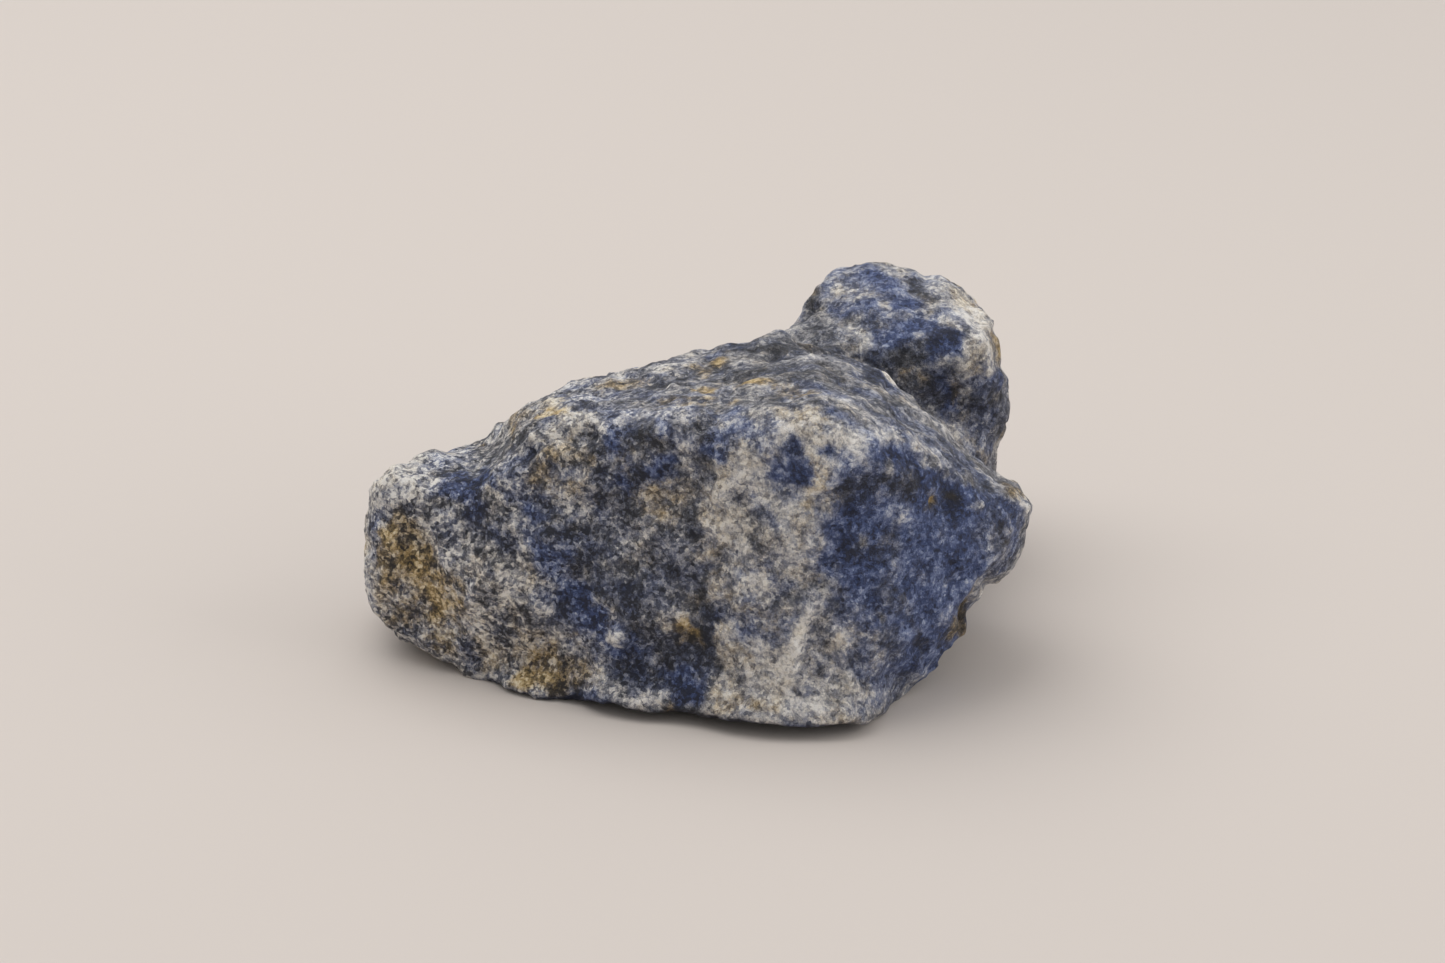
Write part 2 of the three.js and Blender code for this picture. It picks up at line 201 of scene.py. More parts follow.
# Patches on the side towards the camera, by region and kind. Each is its half-width in mm and
# the pixels along its middle. Later ones lie over earlier ones.
PATCHES = {
    "grounds": {
        COAL: [(5.0, (610, 450), (625, 540), (655, 640)),
               (3.5, (690, 450), (690, 560), (700, 640))],
        SAND: [(5.5, (395, 540), (425, 610)), (3.5, (480, 600), (500, 650)),
               (2.5, (545, 480), (560, 500)), (3.0, (540, 410), (590, 432))],
        PALE: [(3.2, (745, 480), (742, 560)), (3.0, (790, 530), (785, 570)),
               (3.2, (790, 425), (850, 432)), (2.8, (742, 620), (745, 690)),
               (2.6, (785, 650), (800, 705)), (2.8, (834, 640), (850, 705))],
        BLUE: [(4.4, (864, 500), (870, 590)), (4.8, (940, 520), (945, 620)),
               (3.2, (900, 635), (935, 655)), (2.0, (1000, 510), (1012, 535))],
        LILAC: [(4.0, (848, 285), (900, 292), (930, 315)),
                (2.6, (850, 345), (880, 332), (930, 335))],
        SLATE: [(2.6, (868, 650), (882, 690)), (2.4, (992, 505), (1014, 545), (1008, 572)),
                (2.0, (895, 425), (980, 470)), (1.6, (510, 460), (540, 464)),
                (1.4, (515, 490), (530, 500)), (2.2, (762, 612), (800, 625)),
                (1.8, (984, 370), (990, 420))],
        GREY: [(3.6, (650, 385), (760, 370), (850, 385)), (1.6, (825, 620), (812, 660))],
        HAZE: [(1.6, (560, 388), (592, 392)), (1.5, (610, 414), (690, 414), (760, 425))],
    },
    "darker parts of the top": {
        COAL: [(2.0, (640, 390), (700, 372), (800, 372)), (1.7, (740, 346), (838, 344))],
    },
    "left end": {
        PALE: [(2.2, (380, 498), (392, 484), (424, 477)), (1.2, (424, 552), (430, 566)),
               (1.3, (450, 560), (472, 568)), (1.0, (470, 572), (486, 568)),
               (0.7, (465, 615), (470, 628)), (0.6, (483, 628), (488, 640)),
               (1.0, (456, 516), (464, 534))],
        # The first two chalk marks are a painted highlight along the rim of the lower edge
        CHALK: [(0.5, (398, 641), (425, 651)), (0.5, (482, 677), (512, 686)),
                (1.5, (396, 506), (406, 500))],
        # The haze mark from (366, 560) to (376, 610) is a painted highlight along the left rim
        HAZE: [(1.2, (444, 466), (470, 448)), (1.0, (480, 440), (510, 424)),
               (1.0, (366, 560), (376, 610))],
        SLATE: [(1.0, (408, 462), (448, 450)), (0.8, (428, 622), (432, 628)),
                (0.9, (381, 520), (383, 550)), (1.0, (456, 602), (462, 638))],
        NAVY: [(1.4, (456, 474), (474, 478)), (1.2, (443, 487), (472, 490)),
               (1.1, (470, 503), (482, 512)), (0.9, (484, 466), (496, 484))],
        INK: [(1.3, (478, 526), (502, 528)), (0.9, (488, 537), (510, 546)),
              (0.8, (372, 530), (374, 540)), (0.8, (403, 632), (415, 628)),
              (0.9, (468, 644), (478, 654)), (1.1, (506, 452), (528, 462))],
        DARK: [(0.8, (391, 512), (392, 518)), (0.8, (413, 511), (421, 515)),
               (0.7, (445, 506), (452, 508)), (1.1, (420, 512), (434, 522)),
               (0.9, (470, 598), (487, 606)), (0.8, (438, 560), (442, 566)),
               (0.8, (400, 605), (410, 612)), (0.8, (488, 590), (494, 596)),
               (0.8, (484, 560), (488, 574)), (0.9, (506, 612), (500, 632))],
        UMBER: [(1.3, (400, 528), (398, 552)), (1.2, (382, 562), (400, 582)),
                (0.8, (448, 576), (456, 588)), (0.7, (436, 640), (442, 650)),
                (0.7, (460, 440), (474, 434))],
        TAN: [(1.1, (394, 522), (403, 546)), (2.4, (412, 556), (446, 606)),
              (1.0, (546, 672), (560, 664)), (1.4, (405, 612), (440, 622))],
        OCHRE: [(0.7, (390, 526), (393, 542)), (1.0, (407, 550), (420, 566)),
                (1.8, (422, 568), (438, 590)), (0.8, (436, 598), (446, 601)),
                (0.8, (440, 612), (432, 618))],
        CREAM: [(0.5, (404, 470), (414, 466)), (0.9, (488, 650), (502, 662)),
                (0.4, (430, 578), (434, 584))],
    },
    "left of the middle": {
        TAN: [(1.1, (552, 446), (580, 452)), (1.3, (545, 472), (558, 500)),
              (0.9, (580, 478), (574, 490))],
        PALE: [(1.4, (512, 610), (516, 580), (530, 576)), (0.9, (545, 612), (548, 640)),
               (1.1, (545, 650), (562, 640)), (1.4, (556, 510), (600, 504)),
               (0.7, (518, 526), (518, 534)), (0.7, (520, 550), (530, 553)),
               (0.4, (508, 482), (514, 482)), (0.9, (598, 560), (606, 556))],
        CHALK: [(1.2, (512, 596), (516, 576)), (1.2, (545, 432), (570, 424), (598, 426)),
                (0.5, (526, 440), (540, 436))],
        BLUE: [(0.9, (532, 518), (540, 522)), (1.1, (534, 544), (541, 556)),
               (1.0, (588, 610), (592, 614))],
        NAVY: [(2.1, (556, 560), (570, 586)), (1.1, (570, 600), (580, 608)),
               (2.0, (598, 620), (612, 636)), (1.0, (620, 655), (634, 655))],
        INK: [(1.0, (544, 508), (552, 516)), (1.3, (576, 566), (600, 550)),
              (1.2, (612, 592), (600, 584)), (1.2, (614, 666), (630, 672)),
              (1.2, (603, 644), (592, 656)), (0.9, (556, 540), (594, 542)),
              (1.0, (574, 520), (586, 521)), (1.0, (600, 478), (602, 508)),
              (0.8, (562, 614), (572, 620)), (0.8, (526, 532), (534, 538))],
        DARK: [(0.8, (512, 618), (508, 630)), (0.8, (524, 614), (528, 620)),
               (1.9, (572, 672), (586, 680)), (1.1, (580, 438), (600, 456)),
               (0.8, (562, 454), (582, 460))],
        UMBER: [(1.7, (568, 674), (582, 677)), (0.8, (554, 688), (562, 690)),
                (0.4, (592, 462), (594, 466))],
        GOLD: [(1.2, (532, 680), (544, 670), (552, 660))],
        OCHRE: [(0.7, (524, 684), (536, 676)), (0.45, (524, 629), (525, 632)),
                (0.35, (571, 633), (572, 635)), (0.7, (548, 417), (560, 416))],
        CREAM: [(0.5, (544, 672), (556, 662)), (1.1, (600, 668), (604, 690)),
                (0.6, (536, 646), (540, 636)), (0.5, (552, 405), (556, 410))],
    },
    "middle": {
        NAVY: [(1.0, (612, 428), (618, 445)), (1.7, (668, 676), (690, 688)),
               (0.9, (686, 698), (688, 704)), (1.5, (634, 486), (644, 485)),
               (0.8, (650, 480), (664, 481))],
        INK: [(1.4, (634, 430), (656, 438)), (1.1, (631, 466), (640, 480)),
              (0.9, (690, 482), (696, 488)), (1.6, (640, 606), (650, 578)),
              (1.0, (682, 444), (688, 440)), (1.4, (650, 684), (668, 692)),
              (1.2, (706, 620), (712, 640)), (0.8, (664, 630), (668, 636)),
              (0.8, (700, 662), (704, 668)), (0.9, (668, 470), (678, 462))],
        BLUE: [(0.9, (656, 466), (668, 456)), (0.8, (660, 424), (666, 430)),
               (0.9, (614, 446), (624, 466))],
        COAL: [(1.0, (658, 655), (682, 660))],
        SLATE: [(0.9, (564, 402), (588, 410)), (0.9, (704, 450), (716, 440))],
        GREY: [(1.3, (658, 608), (676, 612)), (0.9, (612, 465), (618, 468)),
               (0.8, (676, 522), (682, 530))],
        CREAM: [(1.3, (652, 502), (668, 496)), (0.7, (658, 508), (662, 514)),
                (0.6, (685, 556), (702, 552))],
        PALE: [(0.4, (656, 527), (642, 546)), (0.6, (619, 632), (625, 640)),
               (0.9, (648, 704), (660, 696)), (1.1, (686, 446), (692, 492)),
               (0.8, (668, 616), (674, 624)), (0.9, (622, 540), (626, 548))],
        DARK: [(0.9, (692, 526), (698, 530)), (0.9, (703, 562), (699, 576)),
               (0.6, (674, 548), (684, 556))],
        OCHRE: [(0.7, (682, 624), (696, 634))],
        UMBER: [(0.6, (676, 642), (684, 640))],
    },
    "pale band": {
        GREY: [(1.0, (740, 486), (747, 496)), (1.3, (766, 542), (745, 556)),
               (0.8, (788, 474), (793, 504)), (1.2, (778, 590), (786, 612)),
               (1.0, (800, 676), (806, 700))],
        BLUE: [(1.2, (722, 448), (738, 436)), (0.6, (771, 454), (767, 466)),
               (1.0, (842, 522), (833, 550), (826, 574)), (0.35, (824, 526), (818, 546))],
        INK: [(1.1, (767, 610), (775, 640)), (0.5, (768, 512), (776, 530)),
              (0.7, (732, 446), (737, 440))],
        DARK: [(0.8, (722, 584), (734, 590)), (0.6, (756, 516), (764, 508)),
               (0.8, (776, 600), (784, 612)), (0.5, (820, 668), (823, 674)),
               (0.6, (789, 684), (795, 690)), (0.5, (744, 542), (752, 550)),
               (0.5, (706, 480), (708, 504)), (0.7, (734, 682), (740, 688))],
        SLATE: [(1.1, (738, 618), (752, 628)), (1.2, (770, 640), (790, 630)),
                (0.6, (819, 466), (820, 478)), (1.3, (748, 574), (780, 582))],
        LILAC: [(1.3, (748, 442), (770, 434)), (1.3, (800, 408), (850, 416), (870, 440)),
                (0.5, (736, 624), (744, 632)), (1.0, (786, 428), (812, 428)),
                (0.9, (800, 496), (826, 500))],
        HAZE: [(1.2, (846, 503), (830, 516)), (0.8, (830, 516), (820, 534), (808, 568)),
               (0.6, (757, 596), (757, 606)), (0.9, (757, 492), (768, 500))],
        CREAM: [(1.0, (723, 473), (716, 500)), (1.1, (714, 514), (722, 536)),
                (1.1, (711, 552), (718, 600)), (0.9, (736, 598), (742, 610)),
                (1.0, (722, 636), (746, 660)), (0.6, (750, 566), (748, 572)),
                (0.9, (845, 640), (838, 652)), (0.8, (800, 544), (796, 562)),
                (0.8, (830, 452), (826, 476)), (1.5, (808, 462), (812, 484)),
                (1.0, (808, 506), (804, 540)), (1.1, (716, 690), (728, 700))],
        CHALK: [(1.6, (788, 444), (806, 438), (822, 440)), (0.7, (834, 500), (829, 508)),
                (0.7, (728, 648), (736, 656)), (0.8, (736, 520), (742, 540)),
                (0.7, (813, 594), (800, 640), (786, 690)),
                (0.6, (842, 648), (850, 676), (857, 698)), (0.9, (746, 584), (762, 590))],
        PALE: [(1.2, (764, 474), (768, 490)), (0.9, (745, 458), (741, 472)),
               (0.9, (723, 644), (733, 656)), (0.7, (780, 716), (838, 718)),
               (1.0, (862, 700), (880, 690))],
        TAN: [(0.9, (742, 706), (766, 706)), (0.3, (805, 520), (807, 525))],
        NAVY: [(1.4, (786, 467), (796, 473)), (0.7, (796, 450), (800, 456)),
               (0.5, (826, 449), (831, 452))],
    },
    "blue face": {
        SLATE: [(1.2, (854, 470), (880, 478)), (0.9, (890, 545), (893, 566)),
                (1.0, (873, 656), (877, 664))],
        BLUE: [(1.6, (898, 440), (912, 470)), (1.3, (926, 492), (930, 512)),
               (1.3, (958, 494), (974, 504)), (1.6, (860, 542), (850, 575)),
               (2.4, (915, 585), (955, 595)), (2.9, (925, 640), (944, 656))],
        NAVY: [(1.2, (903, 468), (925, 480), (946, 490)), (1.2, (878, 452), (896, 456)),
               (1.7, (844, 514), (852, 535)), (0.9, (854, 543), (858, 550)),
               (0.7, (867, 556), (870, 562)), (1.0, (943, 642), (948, 648)),
               (0.8, (960, 553), (966, 566)), (0.9, (958, 506), (961, 540)),
               (0.8, (872, 622), (874, 630)), (0.9, (912, 546), (918, 554)),
               (0.8, (905, 590), (944, 588))],
        INK: [(1.2, (852, 488), (884, 486), (902, 496)), (1.0, (887, 590), (894, 600)),
              (0.8, (904, 608), (908, 612)), (0.9, (884, 638), (893, 652)),
              (0.7, (884, 690), (893, 696)), (0.4, (894, 529), (895, 533)),
              (0.8, (906, 470), (914, 482)), (1.3, (1003, 530), (998, 566)),
              (0.7, (914, 632), (920, 640))],
        HAZE: [(0.8, (862, 604), (874, 612)), (0.7, (890, 517), (904, 508)),
               (0.5, (857, 626), (858, 634)), (0.4, (948, 574), (953, 577)),
               (1.3, (862, 712), (890, 698), (925, 676)),
               (0.7, (905, 443), (930, 457), (956, 474))],
        UMBER: [(0.6, (934, 501), (934, 508)), (0.45, (945, 497), (956, 497))],
        OCHRE: [(0.25, (934, 502), (934, 506))],
        TAN: [(0.9, (1000, 484), (1013, 496))],
        PALE: [(0.8, (986, 474), (998, 486)), (0.6, (858, 542), (866, 548)),
               (1.2, (880, 438), (890, 432))],
        DARK: [(0.8, (996, 572), (990, 580))],
    },
    "notch": {
        UMBER: [(1.0, (979, 590), (972, 610)), (1.2, (953, 621), (954, 634)),
                (1.0, (972, 617), (966, 630))],
        LILAC: [(0.7, (950, 596), (943, 616))],
        CREAM: [(0.4, (988, 592), (983, 604))],
    },
    "top": {
        TAN: [(1.3, (612, 388), (640, 382)), (0.8, (700, 364), (708, 376)),
              (0.6, (934, 445), (946, 451)), (1.1, (662, 403), (700, 397)),
              (1.5, (745, 387), (804, 391)), (1.0, (970, 440), (990, 458))],
        PALE: [(0.7, (600, 374), (640, 364)), (0.9, (668, 368), (690, 362)),
               (0.9, (662, 416), (672, 420))],
        SLATE: [(0.9, (642, 376), (650, 372)), (1.4, (645, 394), (664, 400)),
                (1.3, (868, 395), (892, 410)), (1.2, (912, 425), (950, 446)),
                (0.9, (708, 356), (730, 348))],
        DARK: [(1.3, (525, 434), (536, 431)), (1.2, (590, 404), (618, 402)),
               (1.5, (776, 350), (840, 352)), (1.1, (760, 370), (812, 372)),
               (0.7, (708, 423), (700, 428)), (0.5, (985, 438), (990, 452)),
               (0.8, (598, 378), (612, 372)), (1.0, (756, 350), (838, 357)),
               (0.8, (650, 362), (662, 358)), (0.8, (800, 405), (820, 408))],
        # The ink mark from (880, 374) to (896, 392) is painted shade on the knob's underside
        INK: [(1.5, (860, 368), (892, 392)), (1.9, (784, 356), (826, 356), (852, 363)),
              (1.0, (880, 374), (896, 392)), (0.9, (910, 432), (950, 457)),
              (0.7, (864, 404), (874, 410)), (0.8, (612, 420), (620, 414)),
              (0.9, (690, 402), (700, 408)), (0.8, (832, 376), (842, 384))],
        LILAC: [(0.8, (856, 374), (860, 382)), (0.9, (720, 412), (742, 418))],
        CREAM: [(0.6, (660, 408), (702, 405)), (0.9, (786, 413), (822, 417)),
                (0.25, (845, 345), (868, 365), (890, 392)),
                (0.35, (904, 400), (940, 425), (962, 446))],
        UMBER: [(0.45, (664, 399), (673, 397))],
        OCHRE: [(0.7, (746, 385), (757, 388)), (0.5, (763, 391), (768, 389))],
    },
    "knob": {
        DARK: [(1.1, (804, 314), (814, 290)), (1.4, (918, 288), (936, 306)),
               (0.6, (944, 289), (952, 293)), (1.5, (904, 353), (940, 348)),
               (1.6, (900, 374), (926, 392)), (1.8, (1000, 396), (1002, 424))],
        INK: [(1.3, (874, 357), (890, 363)), (1.6, (944, 378), (950, 402)),
              (1.2, (984, 402), (990, 420))],
        NAVY: [(1.2, (932, 331), (952, 337)), (1.0, (940, 345), (952, 351))],
        BLUE: [(1.2, (868, 275), (886, 286)), (1.2, (1008, 508), (1018, 528)),
               (1.1, (894, 299), (906, 303)), (1.1, (912, 326), (926, 320)),
               (1.0, (876, 338), (906, 337)), (1.1, (952, 392), (958, 412)),
               (0.9, (990, 370), (998, 384)), (1.0, (840, 312), (862, 308))],
        SLATE: [(0.9, (844, 300), (851, 311)), (0.8, (866, 319), (871, 322)),
                (0.8, (950, 292), (962, 299))],
        HAZE: [(1.7, (960, 424), (986, 440))],
        TAN: [(0.6, (813, 302), (819, 294)), (0.8, (911, 374), (919, 380))],
        PALE: [(0.8, (834, 294), (846, 288)), (0.9, (932, 312), (946, 306))],
        CREAM: [(1.9, (962, 304), (982, 325), (996, 362)), (0.5, (900, 395), (905, 401)),
                (1.0, (974, 366), (978, 350))],
        CHALK: [(1.5, (966, 310), (984, 335)), (1.3, (848, 332), (868, 342)),
                (0.8, (944, 323), (956, 329)), (1.1, (990, 340), (994, 364))],
        UMBER: [(0.6, (957, 378), (958, 393))],
    },
}
PATCH_STRENGTH = 0.88
PATCH_EDGE = 0.6  # the soft edge's half-width for each mm of the patch's
LEAST_EDGE = 0.3  # mm more
PATCH_RAGGED = 0.4  # how far noise moves that edge for each mm of the patch's half-width
LEAST_RAGGED = 0.2  # mm more
RAGGED_CHANGES = [(1.0, 2.0), (0.8, 0.9)]  # that noise: amount, and size in mm

# The ground between the patches. Its changes are noise by amount and size in mm, and an onset is
# the value of that noise where the colour sets in and where it is full.
GROUND_PALE = 0.56
PALE_CHANGES = [(0.18, 7), (0.14, 3.1)]
GROUND_BLUE = 0.4
BLUE_CHANGES = [(1.0, 10), (0.5, 4)]
BLUE_ONSET = (-0.1, 0.5)
GROUND_RUST = 0.8
RUST_CHANGES = [(1.0, 6), (0.4, 2.5)]
RUST_ONSET = (0.42, 0.75)

# Patches where the camera doesn't look: how many, how long and wide in mm, and each kind's share
HIDDEN_PATCHES = 170
HIDDEN_LENGTHS = (0.5, 5)
HIDDEN_HALF_WIDTH = 0.6  # at least
HIDDEN_WIDENING = 0.8  # more, on average
HIDDEN_SHARES = [(NAVY, 5), (INK, 5), (DARK, 3), (COAL, 4), (BLUE, 6), (SLATE, 4), (LILAC, 3),
                 (GREY, 4), (HAZE, 4), (PALE, 6), (CHALK, 2), (CREAM, 4), (TAN, 2), (UMBER, 2),
                 (OCHRE, 2)]

# Colours of the stone from dark to pale: place from 0 to 1, and red, green and blue from 0 to 255
GREY_TONES = [(0.0, (34, 36, 44)), (0.3, (90, 92, 100)), (0.55, (156, 155, 158)),
              (0.82, (226, 221, 215)), (1.0, (250, 246, 240))]
BLUE_TONES = [(0.0, (26, 34, 60)), (0.3, (66, 82, 127)), (0.55, (126, 140, 179)),
              (0.82, (200, 207, 224)), (1.0, (240, 242, 248))]
RUST_TONES = [(0.0, (50, 43, 34)), (0.3, (116, 99, 67)), (0.55, (182, 155, 104)),
              (0.82, (229, 207, 163)), (1.0, (247, 234, 205))]
TONE_SCALE = 0.87  # from paleness to a place on these

# The material's grain. Each noise is its size in mm, its detail and its roughness.
MOTTLE = (3.2, 6, 0.9)
MOTTLE_AMOUNT = 1.9
SPECKS = (0.42, 2, 1.0)
SPECK_AMOUNT = 0.9
CRYSTALS = [(0.85, 0.30), (0.42, 0.52)]  # size in mm, and amount
CRYSTAL_ROUGHNESS = (0.5, 0.8)  # from one of the smaller crystals to another
WAVE_SIZE = 0.5  # mm: the waves in the crystals' outlines
WAVE_DETAIL = 2
WAVE_REACH = 0.5  # mm
HUES = (4.1, 6, 0.85)  # towards blue or towards rust
HUE_AMOUNT = 2.2
BLUE_RANGE = (-0.1, 1.05)  # where blue sets in and where it is full
RUST_RANGE = (0.0, 1.1)
BUMPS = (0.6, 4, 0.8)
BUMP_TONE = 0.35  # how much higher a bump is where the stone is paler
BUMP_HEIGHT = 0.45 * MM

# Metres from the camera, which take in the whole stone
RAY_REACHES = np.arange(0.48, 0.6, 0.002)

NOISE_SCALE = 1.6  # brings noise to about -1 to 1
NOISE_STEP = 17.3  # how far one seed's noise lies from the next one's
CELLS = 256  # after which noise repeats
random = np.random.default_rng(SEED)
GRADIENTS = random.normal(size=(CELLS, 3))
GRADIENTS /= np.linalg.norm(GRADIENTS, axis=1)[:, None]
SHUFFLE = random.permutation(CELLS)


def noise(points, size, seed):
    """Smooth random values, about -1 to 1, at points in mm, alike within size mm."""
    at = points / size + NOISE_STEP * seed
    base = np.floor(at).astype(int)
    offset = at - base
    ease = offset ** 3 * (offset * (offset * 6 - 15) + 10)
    total = np.zeros(len(points))
    for corner in itertools.product((0, 1), repeat=3):
        cell = (base + corner) % CELLS
        pick = SHUFFLE[(SHUFFLE[(SHUFFLE[cell[:, 0]] + cell[:, 1]) % CELLS] + cell[:, 2]) % CELLS]
        weight = np.prod(np.where(corner, ease, 1 - ease), axis=1)
        total += weight * np.sum(GRADIENTS[pick] * (offset - corner), axis=1)
    return NOISE_SCALE * total


def layered(points, changes, seed):
    """Noises of several amounts and sizes, added up."""
    return sum(amount * noise(points, size, seed + layer)
               for layer, (amount, size) in enumerate(changes))


def ease_between(low, high, values):
    """0 below low, 1 above high and a smooth step between them."""
    t = np.clip((values - low) / (high - low), 0, 1)
    return t * t * (3 - 2 * t)


def inside(half_width, away):
    """1 where away is well within half_width, 0 where it is well past it."""
    return 1 - ease_between(*MARK_FADE, away / half_width)


def make_camera():
    data = bpy.data.cameras.new("camera")
    data.sensor_fit = "HORIZONTAL"
    data.sensor_width = SENSOR_MM
    data.lens = SENSOR_MM * FOCAL_PIXELS / PHOTO_WIDTH
    data.clip_start = CLIP_START
    camera = bpy.data.objects.new("camera", data)
    camera.location = CAMERA_PLACE
    camera.rotation_euler = (math.radians(90 - CAMERA_TILT), 0, 0)
    bpy.context.scene.collection.objects.link(camera)
    bpy.context.scene.camera = camera
    bpy.context.view_layer.update()
    return camera


def make_lamps():
    for name, (place, side, power) in LAMPS.items():
        data = bpy.data.lights.new(name, "AREA")
        data.size = side
        data.energy = power
        data.color = LAMP_COLOUR
        lamp = bpy.data.objects.new(name, data)
        lamp.location = place
        lamp.rotation_euler = (-Vector(place)).to_track_quat("-Z", "Y").to_euler()
        bpy.context.scene.collection.objects.link(lamp)


def make_sky():
    world = bpy.data.worlds.new("studio")
    world.use_nodes = True
    sky = Graph(world)
    direction = sky.add("TexCoord").outputs["Generated"]
    lean = sky.add("VectorMath", {0: direction, 1: LIGHT_LEAN}, operation="DOT_PRODUCT")
    low, high = LEAN_RANGE
    strength = sky.add("MapRange", {"Value": lean.outputs["Value"], "From Min": low, "From Max": high,
                                    "To Min": WEAKEST_LIGHT, "To Max": STRONGEST_LIGHT})
    background = world.node_tree.nodes["Background"]
    background.inputs["Color"].default_value = SKY_COLOUR
    world.node_tree.links.new(strength.outputs["Result"], background.inputs["Strength"])
    bpy.context.scene.world = world
    bpy.context.scene.view_settings.view_transform = "Standard"


def make_floor():
    bpy.ops.mesh.primitive_plane_add(size=FLOOR_SIDE)
    floor = bpy.context.object
    floor.name = "floor"
    material = bpy.data.materials.new("pale floor")
    material.use_nodes = True
    shader = material.node_tree.nodes["Principled BSDF"]
    shader.inputs["Base Color"].default_value = FLOOR_COLOUR
    shader.inputs["Roughness"].default_value = FLOOR_ROUGHNESS
    floor.data.materials.append(material)


def fine_stone(node):
    """A finer, smoother copy of the CAD stone, as a new object."""
    grid = bmesh.new()
    grid.from_mesh(node.data)
    bmesh.ops.remove_doubles(grid, verts=grid.verts, dist=TOUCHING)
    for _ in range(SPLITS):
        bmesh.ops.subdivide_edges(grid, edges=grid.edges, cuts=1, use_grid_fill=True)
    foot = [v for v in grid.verts if v.co.z < TOUCHING]
    for _ in range(SMOOTH_ROUNDS):
        bmesh.ops.smooth_vert(grid, verts=grid.verts, factor=SMOOTH_SHARE,
                              use_axis_x=True, use_axis_y=True, use_axis_z=True)
    for vertex in foot:
        vertex.co.z = 0
    inward = distance_inward(grid, foot)
    mesh = bpy.data.meshes.new("stone_surface")
    grid.to_mesh(mesh)
    grid.free()
    mesh.shade_smooth()
    stone = bpy.data.objects.new("stone_surface", mesh)
    bpy.context.scene.collection.objects.link(stone)
    return stone, inward


def distance_inward(grid, foot):
    """How far each vertex of the flat underside lies from the lower edge in mm, and 0 for the rest."""
    flat = set(foot)
    edge = [v for v in foot if any(e.other_vert(v) not in flat for e in v.link_edges)]
    tree = KDTree(len(edge))
    for index, vertex in enumerate(edge):
        tree.insert(vertex.co, index)
    tree.balance()
    grid.verts.index_update()
    inward = np.zeros(len(grid.verts))
    for vertex in foot:
        inward[vertex.index] = tree.find(vertex.co)[2] / MM
    return inward


def read_points(mesh):
    points = np.empty(3 * len(mesh.vertices), np.float32)
    mesh.vertices.foreach_get("co", points)
    return points.reshape(-1, 3).astype(float)


def read_normals(mesh):
    normals = np.empty(3 * len(mesh.vertices), np.float32)
    mesh.vertex_normals.foreach_get("vector", normals)
    return normals.reshape(-1, 3).astype(float)


def cast_pixels(camera, tree, pixels):
    """The places on the stone, in mm, that the camera sees at these pixels, or nearest to them."""
    places = []
    for across, down in pixels:
        ray = Vector(((across - PHOTO_WIDTH / 2) / FOCAL_PIXELS,
                      (PHOTO_HEIGHT / 2 - down) / FOCAL_PIXELS, -1)).normalized()
        ray = camera.matrix_world.to_3x3() @ ray
        place = tree.ray_cast(camera.location, ray)[0]
        if place is None:
            nearest = [tree.find_nearest(camera.location + ray * reach) for reach in RAY_REACHES]
            place = min(nearest, key=lambda found: found[3])[0]
        places.append(np.array(place) / MM)
    return places


def distance_to_path(points, path):
    """How far each point is from a path of one or more places."""
    if len(path) == 1:
        return np.linalg.norm(points - path[0], axis=1)
    nearest = np.full(len(points), np.inf)
    for start, end in zip(path, path[1:]):
        along = end - start
        share = np.clip((points - start) @ along / max(along @ along, 1e-9), 0, 1)
        nearest = np.minimum(nearest, np.linalg.norm(points - start - share[:, None] * along, axis=1))
    return nearest


def warped(points, amounts):
    """The points moved about by noise, so that what is drawn with them has natural edges."""
    moved = points.copy()
    for amount, size in amounts:
        for axis in range(3):
            moved[:, axis] += amount * noise(points, size, seed=3 + axis)
    return moved


def steps(values):
    """The values drawn towards whole numbers, so that they climb in flat steps."""
    whole = np.floor(values)
    return whole + ease_between(*LEDGE_RISE, values - whole)


def relief(points, normals, paths):
    """Height of the surface above the smooth stone, in mm: the whole of it, and the grain alone."""
    grain = layered(points, FINE_SWELLS, seed=11)
    for layer, (rise, size) in enumerate(COBBLES):
        grain += rise * (np.abs(noise(points, size, seed=16 + layer)) - COBBLE_LEVEL)
    loose = warped(points, LEDGE_WARP)
    for layer, (rise, size, count) in enumerate(LEDGES):
        grain += rise * steps(count * noise(loose, size, seed=40 + layer))
    height = grain + layered(points, [SWELL], seed=10)
    upward = ease_between(*STREAK_SLOPE, normals[:, 2])
    height += STREAK_HEIGHT * upward * noise(points * STREAK_STRETCH, STREAK_SIZE, seed=20)
    loose = warped(points, RELIEF_WARP)
    for rise, half_width, path in paths:
        height += rise * inside(half_width, distance_to_path(loose, path))
    return height * ease_between(0, FOOT_HEIGHT, points[:, 2]), grain


def set_back(points, camera, paths):
    """The points moved away from the camera near some paths, and kept above the floor."""
    moved = points.copy()
    sight = points - np.array(camera.location) / MM
    sight /= np.linalg.norm(sight, axis=1)[:, None]
    for amount, half_width, path in paths:
        moved += amount * inside(half_width, distance_to_path(points, path))[:, None] * sight
    moved[:, 2] = np.maximum(moved[:, 2], 0)
    return moved


def shifted(points, camera):
    """The points moved across the picture near the paths of SHIFTS, whatever their depth."""
    axes = np.array(camera.matrix_world.to_3x3())
    local = (points - np.array(camera.location) / MM) @ axes
    depth = -local[:, 2]
    seen = np.stack([PHOTO_WIDTH / 2 + FOCAL_PIXELS * local[:, 0] / depth,
                     PHOTO_HEIGHT / 2 - FOCAL_PIXELS * local[:, 1] / depth], axis=1)
    moved = points.copy()
    for (across, down), half_width, path in SHIFTS:
        share = inside(half_width, distance_to_path(seen, np.array(path, float)))
        step = across * axes[:, 0] - down * axes[:, 1]
        moved += share[:, None] * step[None, :] * (depth / FOCAL_PIXELS)[:, None]
    moved[:, 2] = np.maximum(moved[:, 2], 0)
    return moved


def raised(points, normals, height):
    """The points moved out by their height."""
    moved = points + normals * height[:, None]
    moved[:, 2] = np.maximum(moved[:, 2], 0)
    return moved


